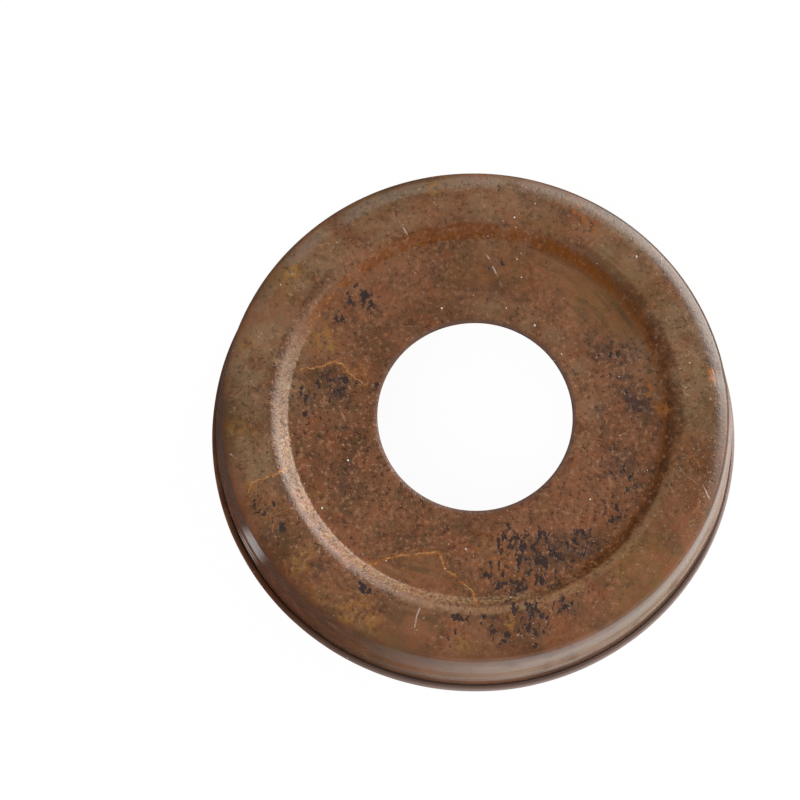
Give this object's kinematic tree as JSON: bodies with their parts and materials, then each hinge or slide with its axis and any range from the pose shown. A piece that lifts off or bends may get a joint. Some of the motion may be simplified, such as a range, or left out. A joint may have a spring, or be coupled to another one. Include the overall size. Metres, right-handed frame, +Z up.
{
  "type": "mason jar lantern lid",
  "caption": "Rusted pressed-steel screw lid for a regular-mouth jar, with a recessed panel, a round light hole, a curled hem and a rubber sealing ring under its rim.",
  "frame": {"origin": "centre of the circle on which the lid's hem stands", "axes": "+Z up along the lid's axis, out of the top of the panel; the lid is round, so +X and +Y are any two square directions"},
  "size_m": [0.0738, 0.0738, 0.013],
  "materials": {
    "rusted_steel": "rusted sheet steel sealed with a satin clear lacquer",
    "seal_rubber": "matt moulded rubber"
  },
  "bodies": {
    "root": {"lid_shell": "rusted_steel", "sealing_ring": "seal_rubber"}
  },
  "joints": []
}
